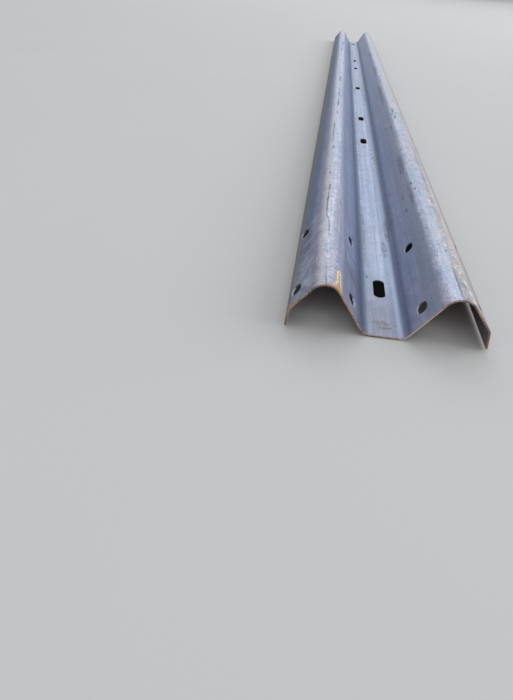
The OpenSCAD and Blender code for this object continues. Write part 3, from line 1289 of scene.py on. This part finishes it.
class GUARDRAIL_OT_panel(bpy.types.Operator):
    """Punch a flat steel blank, fold it into the two-ridge panel and give it its finish"""

    bl_idname = "guardrail.panel"
    bl_label = "Rail panel"

    def execute(self, context):
        sizes = context.scene.rail_panel_sizes
        fold = fold_stations(sizes)
        blank, points, patches = flat_pieces(sizes, fold)
        for obj in [blank, points, *patches]:
            context.scene.collection.objects.link(obj)
        steel = mill_scale_material(context.scene.rail_panel_finish, sizes, fold)
        tree = panel_tree()
        modifier = blank.modifiers.new("punch_and_fold", "NODES")
        modifier.node_group = tree
        values = {
            "Slot places": points,
            "Thickness": sizes.thickness,
            "Waviness": sizes.waviness,
            "Seed": float(sizes.seed),
            "Finish": steel,
        }
        values.update(zip(PATCHES, patches))
        values.update(zip(SLOPES, (sizes.web_slope, sizes.flank_slope, sizes.lip_slope)))
        values.update({label: fold[label] for label in FOLD_LENGTHS})
        fill_modifier(modifier, tree, values)
        data = plain_mesh(blank, "finished_panel")
        if len(data.polygons) < FEWEST_FACES:
            raise RuntimeError("the panel's node tree gave no sheet")
        data.materials.clear()
        data.materials.append(steel)
        data.polygons.foreach_set("material_index", [0] * len(data.polygons))
        for obj in [points, *patches]:
            bpy.data.objects.remove(obj)
        blank.name = "finished_panel"
        store_edge_distance(data, sizes, fold)
        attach(blank, "root")
        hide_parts(PANEL_NODE)
        return {"FINISHED"}


def soft_light(name, place, size, power, colour):
    data = bpy.data.lights.new(name, "AREA")
    data.shape = "RECTANGLE"
    data.size, data.size_y = size
    data.energy = power
    data.color = colour
    light = bpy.data.objects.new(name, data)
    light.location = place
    light.rotation_euler = (Vector() - Vector(place)).to_track_quat("-Z", "Y").to_euler()
    light.visible_camera = False
    return light


class GUARDRAIL_OT_stage(bpy.types.Operator):
    """Lay the pale floor and hang the soft lights"""

    bl_idname = "guardrail.stage"
    bl_label = "Floor and light"

    def execute(self, context):
        studio = context.scene.guardrail_studio
        mesh = bmesh.new()
        bmesh.ops.create_grid(mesh, x_segments=1, y_segments=1, size=FLOOR_HALF_SIZE)
        floor = mesh_object("studio_floor", mesh)
        floor.data.materials.append(floor_material(studio.floor, studio.painted_shade))
        context.scene.collection.objects.link(floor)
        for name, (place, size) in LIGHTS.items():
            power = getattr(studio, name + "_power")
            light = soft_light(name + "_light", place, size, power, studio.sky)
            context.scene.collection.objects.link(light)
        world = bpy.data.worlds.new("room")
        world.use_nodes = True
        tree = world.node_tree
        background = tree.nodes["Background"].inputs
        background["Color"].default_value = colour4(studio.sky)
        height = separate(result(tree, "ShaderNodeTexCoord", None, "Generated"))[2]
        strength = height.step(-0.1, 0.7, studio.room_low, studio.room_high)
        fill_input(background["Strength"], strength)
        context.scene.world = world
        return {"FINISHED"}


class GUARDRAIL_PT_sidebar(bpy.types.Panel):
    """The panel's pieces and settings"""

    bl_idname = "GUARDRAIL_PT_sidebar"
    bl_label = "Guardrail"
    bl_space_type = "VIEW_3D"
    bl_region_type = "UI"
    bl_category = "Guardrail"

    def draw(self, context):
        for operator in OPERATORS:
            self.layout.operator(operator.bl_idname)
        for name, group in SETTINGS.items():
            box = self.layout.box()
            for key in group.__annotations__:
                box.prop(getattr(context.scene, name), key)


OPERATORS = (GUARDRAIL_OT_camera, GUARDRAIL_OT_panel, GUARDRAIL_OT_stage)
SETTINGS = {
    "rail_panel_sizes": RailPanelSizes,
    "rail_panel_finish": RailPanelFinish,
    "guardrail_studio": StudioSettings,
}
CLASSES = (*SETTINGS.values(), *OPERATORS, GUARDRAIL_PT_sidebar)


def register():
    for cls in CLASSES:
        bpy.utils.register_class(cls)
    for name, cls in SETTINGS.items():
        setattr(bpy.types.Scene, name, PointerProperty(type=cls))


def unregister():
    for name in SETTINGS:
        delattr(bpy.types.Scene, name)
    for cls in reversed(CLASSES):
        bpy.utils.unregister_class(cls)


def main():
    register()
    bpy.ops.guardrail.camera()
    bpy.ops.guardrail.panel()
    bpy.ops.guardrail.stage()
    bpy.context.scene.view_settings.view_transform = "Standard"


if __name__ == "__main__":
    main()
